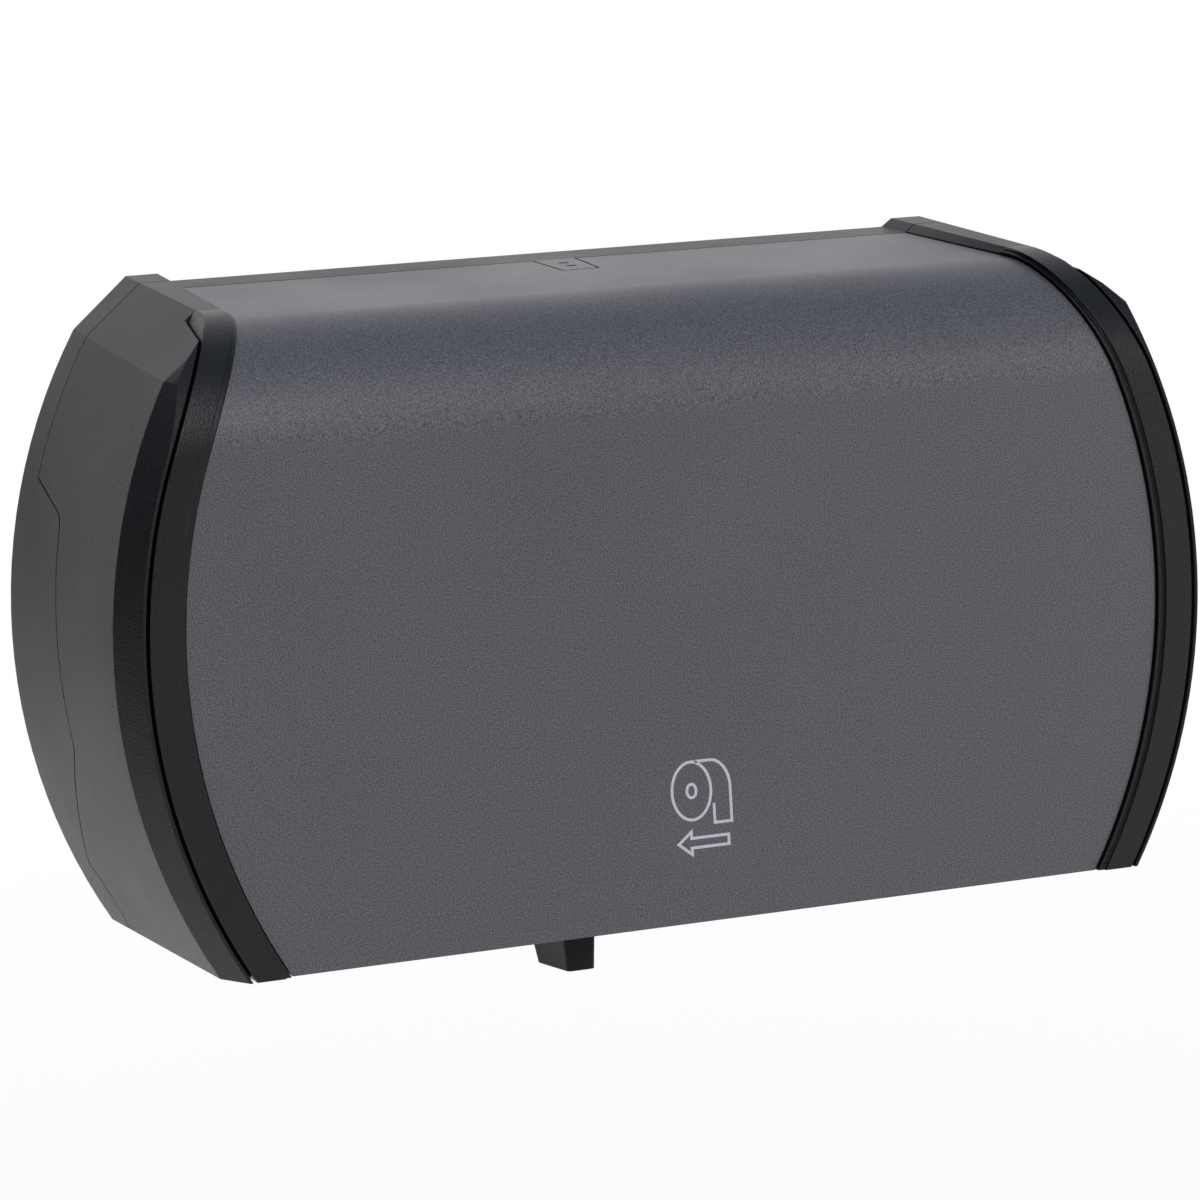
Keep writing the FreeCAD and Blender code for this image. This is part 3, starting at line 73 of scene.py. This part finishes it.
def add_node(tree, kind, inputs=None, **settings):
    """A node with its settings, whose inputs are values or the outputs that they link to."""
    node = tree.nodes.new(kind)
    for name, value in settings.items():
        setattr(node, name, value)
    for name, value in (inputs or {}).items():
        if isinstance(value, bpy.types.NodeSocket):
            tree.links.new(value, node.inputs[name])
        else:
            node.inputs[name].default_value = value
    return node


def empty_tree(holder):
    """The holder's node tree with nothing in it."""
    holder.use_nodes = True
    holder.node_tree.nodes.clear()
    return holder.node_tree


def per_millimetre(size):
    """The scale of a pattern whose grains are size millimetres wide."""
    return 1 / (size * MM)


# Materials, with widths, depths and edge radii in millimetres

# Noise seldom leaves this range, so the range stands for all of it
NOISE_LOW = 0.3
NOISE_HIGH = 0.7
EDGE_SAMPLES = 6
FLOW_WIDTH = 70
GRAIN_STRENGTH = 0.5
CRYSTAL_WIDTH = 1.2
CLOUD_WIDTH = 3
CLOUD_DEPTH = 0.02
CLOUD_STRENGTH = 0.2
PLATED_EDGE = 0.15
# Real pinholes are near 0.1 mm, drawn coarser to show
PINHOLE_WIDTH = 0.5


def moulded_plastic(name, dark, light, ior, roughness, grain, grain_depth, edge, specular=0.5):
    """A moulded plastic: the mould's grain and soft edges, and slow changes of gloss along the flow."""
    material = bpy.data.materials.new(name)
    tree = empty_tree(material)
    place = add_node(tree, "ShaderNodeTexCoord").outputs["Object"]
    spark = add_node(tree, "ShaderNodeTexNoise", {
        "Vector": place, "Scale": per_millimetre(grain), "Detail": 2.0, "Roughness": 0.6})
    streak = add_node(tree, "ShaderNodeTexNoise", {
        "Vector": place, "Scale": per_millimetre(FLOW_WIDTH), "Detail": 3.0, "Roughness": 0.5})
    shade = add_node(tree, "ShaderNodeMapRange", {
        "Value": spark.outputs["Fac"], "From Min": NOISE_LOW, "From Max": NOISE_HIGH})
    colour = add_node(tree, "ShaderNodeMixRGB", {
        "Fac": shade.outputs["Result"], "Color1": linear(dark), "Color2": linear(light)})
    gloss = add_node(tree, "ShaderNodeMapRange", {
        "Value": streak.outputs["Fac"], "From Min": NOISE_LOW, "From Max": NOISE_HIGH,
        "To Min": roughness[0], "To Max": roughness[1]})
    soft_edge = add_node(tree, "ShaderNodeBevel", {"Radius": edge * MM}, samples=EDGE_SAMPLES)
    bump = add_node(tree, "ShaderNodeBump", {
        "Height": spark.outputs["Fac"], "Strength": GRAIN_STRENGTH, "Distance": grain_depth * MM,
        "Normal": soft_edge.outputs["Normal"]})
    shader = add_node(tree, "ShaderNodeBsdfPrincipled", {
        "Base Color": colour.outputs["Color"], "Roughness": gloss.outputs["Result"],
        "Normal": bump.outputs["Normal"], "IOR": ior, "Specular IOR Level": specular})
    add_node(tree, "ShaderNodeOutputMaterial", {"Surface": shader.outputs["BSDF"]})
    return material


def zinc_plated_steel():
    """Zinc plating is bright, with a faint crystal mottle and cloudy patches of gloss."""
    material = bpy.data.materials.new("zinc-plated steel")
    tree = empty_tree(material)
    place = add_node(tree, "ShaderNodeTexCoord").outputs["Object"]
    crystal = add_node(tree, "ShaderNodeTexVoronoi", {
        "Vector": place, "Scale": per_millimetre(CRYSTAL_WIDTH)})
    cloud = add_node(tree, "ShaderNodeTexNoise", {
        "Vector": place, "Scale": per_millimetre(CLOUD_WIDTH), "Detail": 4.0})
    colour = add_node(tree, "ShaderNodeMixRGB", {
        "Fac": crystal.outputs["Distance"], "Color1": linear("#c3c6ca"), "Color2": linear("#a7abb1")})
    gloss = add_node(tree, "ShaderNodeMapRange", {
        "Value": cloud.outputs["Fac"], "From Min": NOISE_LOW, "From Max": NOISE_HIGH,
        "To Min": 0.24, "To Max": 0.42})
    soft_edge = add_node(tree, "ShaderNodeBevel", {"Radius": PLATED_EDGE * MM}, samples=EDGE_SAMPLES)
    bump = add_node(tree, "ShaderNodeBump", {
        "Height": cloud.outputs["Fac"], "Strength": CLOUD_STRENGTH, "Distance": CLOUD_DEPTH * MM,
        "Normal": soft_edge.outputs["Normal"]})
    shader = add_node(tree, "ShaderNodeBsdfPrincipled", {
        "Base Color": colour.outputs["Color"], "Metallic": 1.0,
        "Roughness": gloss.outputs["Result"], "Normal": bump.outputs["Normal"]})
    add_node(tree, "ShaderNodeOutputMaterial", {"Surface": shader.outputs["BSDF"]})
    return material


def screen_print_ink():
    """Screen-print ink lies as a matt film, a little thinner where the mesh left pinholes."""
    material = bpy.data.materials.new("screen-print ink, light grey")
    tree = empty_tree(material)
    place = add_node(tree, "ShaderNodeTexCoord").outputs["Object"]
    pinhole = add_node(tree, "ShaderNodeTexNoise", {
        "Vector": place, "Scale": per_millimetre(PINHOLE_WIDTH), "Detail": 2.0})
    thin = add_node(tree, "ShaderNodeMapRange", {
        "Value": pinhole.outputs["Fac"], "From Min": 0.35, "From Max": 0.65})
    colour = add_node(tree, "ShaderNodeMixRGB", {
        "Fac": thin.outputs["Result"], "Color1": linear("#b4b4b9"), "Color2": linear("#d0d0d4")})
    gloss = add_node(tree, "ShaderNodeMapRange", {
        "Value": pinhole.outputs["Fac"], "To Min": 0.5, "To Max": 0.65})
    shader = add_node(tree, "ShaderNodeBsdfPrincipled", {
        "Base Color": colour.outputs["Color"], "Roughness": gloss.outputs["Result"], "IOR": 1.5})
    add_node(tree, "ShaderNodeOutputMaterial", {"Surface": shader.outputs["BSDF"]})
    return material


FINISHES = {
    # Spark-textured ABS: satin black whose grain breaks up reflections
    # The real grain is near 0.3 mm wide and much shallower, drawn coarser and deeper to show
    "black_abs": moulded_plastic(
        "moulded ABS, black, spark textured", "#070708", "#1f1f20", ior=1.53, roughness=(0.34, 0.42),
        grain=0.6, grain_depth=0.6, edge=0.7, specular=0.22),
    # Smoked polycarbonate: smooth grey that the light slides over, with a fine speckle in the tint
    # The real speckle is near 0.2 mm, drawn coarser to show
    "grey_panel": moulded_plastic(
        "smoked polycarbonate, grey", "#2c2a2d", "#6b696d", ior=1.58, roughness=(0.38, 0.46),
        grain=0.5, grain_depth=0.08, edge=0.4),
    # Acetal: waxy and smooth, nearly black
    "black_acetal": moulded_plastic(
        "moulded acetal, black", "#080808", "#0f0f0e", ior=1.48, roughness=(0.4, 0.48),
        grain=1.0, grain_depth=0.01, edge=0.5, specular=0.25),
    # Grey acetal: the same waxy gloss, pale enough for the grain's shade to show
    "grey_acetal": moulded_plastic(
        "moulded acetal, grey", "#8b8b8a", "#979796", ior=1.48, roughness=(0.3, 0.4),
        grain=1.0, grain_depth=0.01, edge=0.4),
    "steel": zinc_plated_steel(),
}
# Fine-textured ABS of the lips: deeper black than the caps, with a soft sheen; its grain is drawn deeper too
LIP_FINISH = moulded_plastic(
    "moulded ABS, black, fine textured", "#060607", "#161617", ior=1.53, roughness=(0.32, 0.4),
    grain=0.6, grain_depth=0.3, edge=0.6, specular=0.35)
LIP_NODES = ("bezel_left", "bezel_right")


for row in frame["record"]["subparts"]:
    piece = bpy.data.objects[row["node"]]
    piece.data.materials[0] = LIP_FINISH if row["node"] in LIP_NODES else FINISHES[row["material_slot"]]


# The usage sign on the front, in millimetres: a roll, its hanging sheet and an arrow, in stencil strokes

SIGN_CENTRE = (0.4, -61.4)
STROKE = 0.9
STENCIL_GAP = 0.7
SHARPEST_MITRE = 0.3
INK_FILM = 0.03
END_HALF_WIDTH = 6.4
END_HALF_HEIGHT = 9.0
CORE_HALF_WIDTH = 1.5
CORE_HALF_HEIGHT = 2.1
ROLL_LENGTH = 6.4
SHEET_WIDTH = 5.6
SHEET_DROP = 10.6
SHEET_TOP = -END_HALF_HEIGHT / 2
ARROW_DROP = -16.2
ARROW_OUTLINE = [(-8.3, 0), (-4, 3.5), (-4, 1.5), (8.3, 1.5), (8.3, -1.5), (-4, -1.5), (-4, -3.5)]
ROUND_STEPS = 64


def oval(middle, half_width, half_height, start=0.0, end=2 * math.pi):
    """Points round an oval from one angle to another, all the way by default."""
    turns = [start + (end - start) * step / ROUND_STEPS for step in range(ROUND_STEPS + 1)]
    points = [(middle + half_width * math.cos(turn), half_height * math.sin(turn)) for turn in turns]
    return points[:-1] if end - start == 2 * math.pi else points


def stroke_edges(points, closed):
    """The two edges of a line of ink, half a stroke to each side, mitred at its corners."""
    count = len(points)
    sides = ([], [])
    for index, point in enumerate(points):
        here = Vector(point)
        ways = []
        if closed or index > 0:
            ways.append((here - Vector(points[index - 1])).normalized())
        if closed or index < count - 1:
            ways.append((Vector(points[(index + 1) % count]) - here).normalized())
        along = sum(ways, Vector((0, 0))).normalized()
        across = Vector((-along.y, along.x))
        mitre = across.dot(Vector((-ways[0].y, ways[0].x)))
        reach = STROKE / 2 / max(SHARPEST_MITRE, mitre)
        sides[0].append(here + across * reach)
        sides[1].append(here - across * reach)
    return sides


def usage_sign():
    """The printed sign, a thin film on the panel's front."""
    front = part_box("front_panel")[0].y
    near = -ROLL_LENGTH / 2
    far = ROLL_LENGTH / 2
    sheet_right = far + END_HALF_WIDTH
    sheet_left = sheet_right - SHEET_WIDTH
    clear_of_end = near + STENCIL_GAP + STROKE
    back_of_roll = oval(far, END_HALF_WIDTH, END_HALF_HEIGHT, math.pi / 2, 0)
    roll_and_sheet = [
        (clear_of_end, END_HALF_HEIGHT),
        *back_of_roll,
        (sheet_right, -SHEET_DROP),
        (sheet_left, -SHEET_DROP),
        (sheet_left, SHEET_TOP),
    ]
    lines = [
        (oval(near, END_HALF_WIDTH, END_HALF_HEIGHT), True),
        (oval(near, CORE_HALF_WIDTH, CORE_HALF_HEIGHT), True),
        (roll_and_sheet, False),
        ([(x, z + ARROW_DROP) for x, z in ARROW_OUTLINE], True),
    ]
    corners = []
    faces = []
    for points, closed in lines:
        outer, inner = stroke_edges(points, closed)
        count = len(points)
        first = len(corners)
        for point in outer + inner:
            corners.append(((SIGN_CENTRE[0] + point.x) * MM, front, (SIGN_CENTRE[1] + point.y) * MM))
        for step in range(count if closed else count - 1):
            following = (step + 1) % count
            faces.append((first + step, first + following, first + count + following, first + count + step))
    mesh = bpy.data.meshes.new("usage_sign")
    mesh.from_pydata(corners, [], faces)
    mesh.materials.append(screen_print_ink())
    sign = bpy.data.objects.new("usage_sign", mesh)
    scene.collection.objects.link(sign)
    film = sign.modifiers.new("ink film", "SOLIDIFY")
    film.thickness = INK_FILM * MM
    film.offset = 0
    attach(sign, "cover")


usage_sign()


# The studio, in metres: white floor that keeps a faint shadow, white background, plain soft light

FLOOR_HEIGHT = -0.32
FLOOR_HALF = 1.6
SHADOW_NEAR = 0.3
SHADOW_FAR = 1.4
NEAR_WHITE = 0.94
BACKDROP_WAY = (0.3, 0.92, 0.25)
# How far a direction points each way, from where a tone of the studio starts to where it is full
BACKDROP_FADE = (0.5, 0.95)
OVERHEAD_FADE = (0.1, 0.8)
LEFT_FLAG_FADE = (-0.3, -0.8)
SOFT_BOX_SIDE = 1.0
LAMP_AIM = Vector((0, -0.06, 0))


def studio_floor():
    """White sweep under the dispenser, white to the eye with its shadow kept."""
    mesh = bpy.data.meshes.new("studio_floor")
    corners = [(x * FLOOR_HALF, y * FLOOR_HALF, 0) for x, y in ((-1, -1), (1, -1), (1, 1), (-1, 1))]
    mesh.from_pydata(corners, [], [(0, 1, 2, 3)])
    floor = bpy.data.objects.new("studio_floor", mesh)
    floor.location.z = FLOOR_HEIGHT
    scene.collection.objects.link(floor)
    material = bpy.data.materials.new("white paper sweep")
    tree = empty_tree(material)
    path = add_node(tree, "ShaderNodeLightPath")
    seen = add_node(tree, "ShaderNodeMath", {
        0: path.outputs["Is Camera Ray"], 1: path.outputs["Is Glossy Ray"]}, operation="MAXIMUM")
    shown = add_node(tree, "ShaderNodeMath", {
        0: seen.outputs[0], 1: path.outputs["Is Transmission Ray"]}, operation="MAXIMUM")
    place = add_node(tree, "ShaderNodeTexCoord").outputs["Object"]
    far = add_node(tree, "ShaderNodeVectorMath", {0: place}, operation="LENGTH")
    fade = add_node(tree, "ShaderNodeMapRange", {
        "Value": far.outputs["Value"], "From Min": SHADOW_NEAR, "From Max": SHADOW_FAR,
        "To Min": NEAR_WHITE, "To Max": 1.0})
    white = add_node(tree, "ShaderNodeMath", {
        0: shown.outputs[0], 1: fade.outputs["Result"]}, operation="MULTIPLY")
    paper = add_node(tree, "ShaderNodeBsdfDiffuse", {"Color": linear("#f2f2f2")})
    glow = add_node(tree, "ShaderNodeEmission", {"Strength": 1.0})
    mixed = add_node(tree, "ShaderNodeMixShader", {
        0: white.outputs[0], 1: paper.outputs["BSDF"], 2: glow.outputs["Emission"]})
    add_node(tree, "ShaderNodeOutputMaterial", {"Surface": mixed.outputs["Shader"]})
    mesh.materials.append(material)


def studio_world():
    """White behind and to the right, a dark flag on the left, dim grey in front and a cool overhead."""
    world = bpy.data.worlds.new("studio")
    scene.world = world
    tree = empty_tree(world)
    path = add_node(tree, "ShaderNodeLightPath")
    way = add_node(tree, "ShaderNodeTexCoord").outputs["Generated"]
    parts = add_node(tree, "ShaderNodeSeparateXYZ", {"Vector": way})
    towards = add_node(tree, "ShaderNodeVectorMath", {0: way, 1: BACKDROP_WAY}, operation="DOT_PRODUCT")
    behind = add_node(tree, "ShaderNodeMapRange", {
        "Value": towards.outputs["Value"], "From Min": BACKDROP_FADE[0], "From Max": BACKDROP_FADE[1]})
    overhead = add_node(tree, "ShaderNodeMapRange", {
        "Value": parts.outputs["Z"], "From Min": OVERHEAD_FADE[0], "From Max": OVERHEAD_FADE[1]})
    left = add_node(tree, "ShaderNodeMapRange", {
        "Value": parts.outputs["X"], "From Min": LEFT_FLAG_FADE[0], "From Max": LEFT_FLAG_FADE[1]})
    walls = add_node(tree, "ShaderNodeMixRGB", {
        "Fac": left.outputs["Result"], "Color1": linear("#565658"), "Color2": linear("#1c1c1d")})
    room = add_node(tree, "ShaderNodeMixRGB", {
        "Fac": overhead.outputs["Result"], "Color1": walls.outputs["Color"], "Color2": linear("#95a2bb")})
    mirrored = add_node(tree, "ShaderNodeMath", {
        0: path.outputs["Is Glossy Ray"], 1: behind.outputs["Result"]}, operation="MULTIPLY")
    seen = add_node(tree, "ShaderNodeMath", {
        0: path.outputs["Is Camera Ray"], 1: path.outputs["Is Transmission Ray"]}, operation="MAXIMUM")
    shown = add_node(tree, "ShaderNodeMath", {
        0: seen.outputs[0], 1: mirrored.outputs[0]}, operation="MAXIMUM")
    studio = add_node(tree, "ShaderNodeBackground", {"Color": room.outputs["Color"], "Strength": 1.0})
    white = add_node(tree, "ShaderNodeBackground", {"Color": (1, 1, 1, 1), "Strength": 1.0})
    mixed = add_node(tree, "ShaderNodeMixShader", {
        0: shown.outputs[0], 1: studio.outputs["Background"], 2: white.outputs["Background"]})
    add_node(tree, "ShaderNodeOutputWorld", {"Surface": mixed.outputs["Shader"]})


def soft_box(name, place, watts):
    """A square soft box that faces the dispenser."""
    data = bpy.data.lights.new(name, "AREA")
    data.size = SOFT_BOX_SIDE
    data.energy = watts
    lamp = bpy.data.objects.new(name, data)
    lamp.location = place
    aim = LAMP_AIM - Vector(place)
    lamp.rotation_euler = aim.to_track_quat("-Z", "Y").to_euler()
    scene.collection.objects.link(lamp)


studio_floor()
studio_world()
soft_box("key_soft_box", (-0.4, -1.9, 1.1), watts=21)
soft_box("fill_soft_box", (1.4, -1.5, 0.4), watts=8)


# The camera: a long lens, a little left of the front and a little above, fitted to the photo's outlines

IMAGE_PIXELS = 1200
FOCAL_PIXELS = 4456
SENSOR = 36.0
YAW = math.radians(20.22)
PITCH = math.radians(7.34)
ROLL = math.radians(-3.31)
# The point on the dispenser, and where it lies from the camera: right, up and ahead, in millimetres
AIM_AT = Vector((0, -75, 0))
OFFSET = (11.1, 7.1, 1400.4)

ahead = Vector((math.sin(YAW) * math.cos(PITCH), math.cos(YAW) * math.cos(PITCH), -math.sin(PITCH)))
level = Vector((math.cos(YAW), -math.sin(YAW), 0))
upright = level.cross(ahead)
right = math.cos(ROLL) * level + math.sin(ROLL) * upright
up = -math.sin(ROLL) * level + math.cos(ROLL) * upright

lens = bpy.data.cameras.new("camera")
lens.sensor_width = SENSOR
lens.lens = FOCAL_PIXELS / IMAGE_PIXELS * SENSOR
camera = bpy.data.objects.new("camera", lens)
stand = (AIM_AT - OFFSET[0] * right - OFFSET[1] * up - OFFSET[2] * ahead) * MM
turned = camera.matrix_world.copy()
for column, axis in enumerate((right, up, -ahead)):
    for line in range(3):
        turned[line][column] = axis[line]
turned.translation = stand
camera.matrix_world = turned
scene.collection.objects.link(camera)
scene.camera = camera
